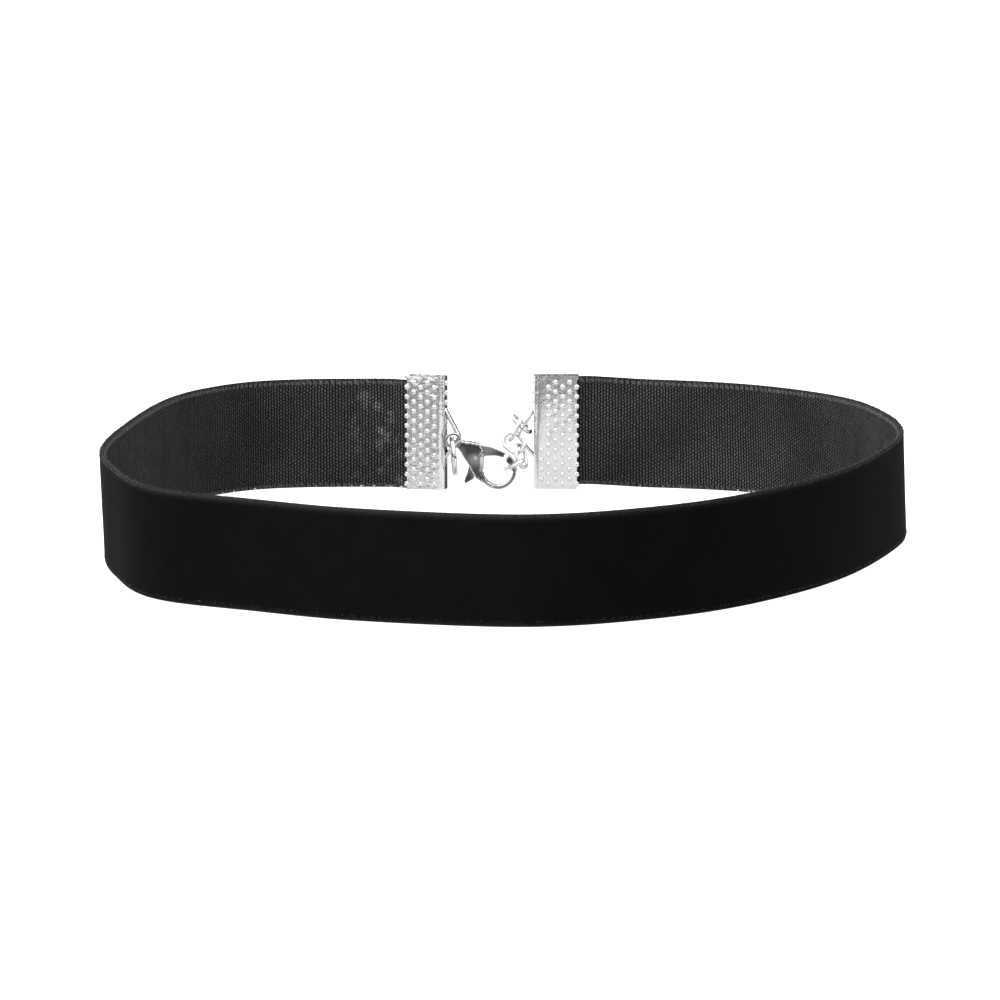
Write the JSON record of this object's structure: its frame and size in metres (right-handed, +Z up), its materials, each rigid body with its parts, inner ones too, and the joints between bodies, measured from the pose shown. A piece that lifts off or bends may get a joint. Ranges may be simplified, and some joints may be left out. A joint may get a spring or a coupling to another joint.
{
  "type": "choker necklace",
  "caption": "Flat velvet ribbon choker standing as a closed loop, with textured crimp ends, a jump ring, a lobster clasp and a short link chain.",
  "frame": {"origin": "middle of the loop's bounding box, on the plane that the ribbon's lower edge stands on", "axes": "+Z up along the ribbon's width, +Y to the clasp at the back, +X to the right seen from the front"},
  "size_m": [0.0732, 0.103, 0.0105],
  "materials": {
    "velvet": "matte velvet pile, woven backing",
    "crimp_metal": "bright plated, raised dots",
    "wire_metal": "bright plated",
    "clasp_metal": "bright plated, polished"
  },
  "bodies": {
    "choker": {"velvet_ribbon": "velvet", "crimp_left": "crimp_metal", "crimp_right": "crimp_metal", "jump_ring": "wire_metal", "clasp_body": "clasp_metal", "clasp_rivet": "clasp_metal", "extension_link_1": "wire_metal", "extension_link_2": "wire_metal", "extension_link_3": "wire_metal", "extension_link_4": "wire_metal", "extension_link_5": "wire_metal"},
    "lever": {"clasp_lever": "clasp_metal"}
  },
  "joints": [
    {"name": "lever_pivot", "type": "hinge", "parent": "choker", "child": "lever", "pos_m": [-0.00268, 0.0483, 0.00306], "axis": [0, 1, 0], "range_deg": [0, 16], "stiffness_Nm_per_rad": 0.006}
  ]
}
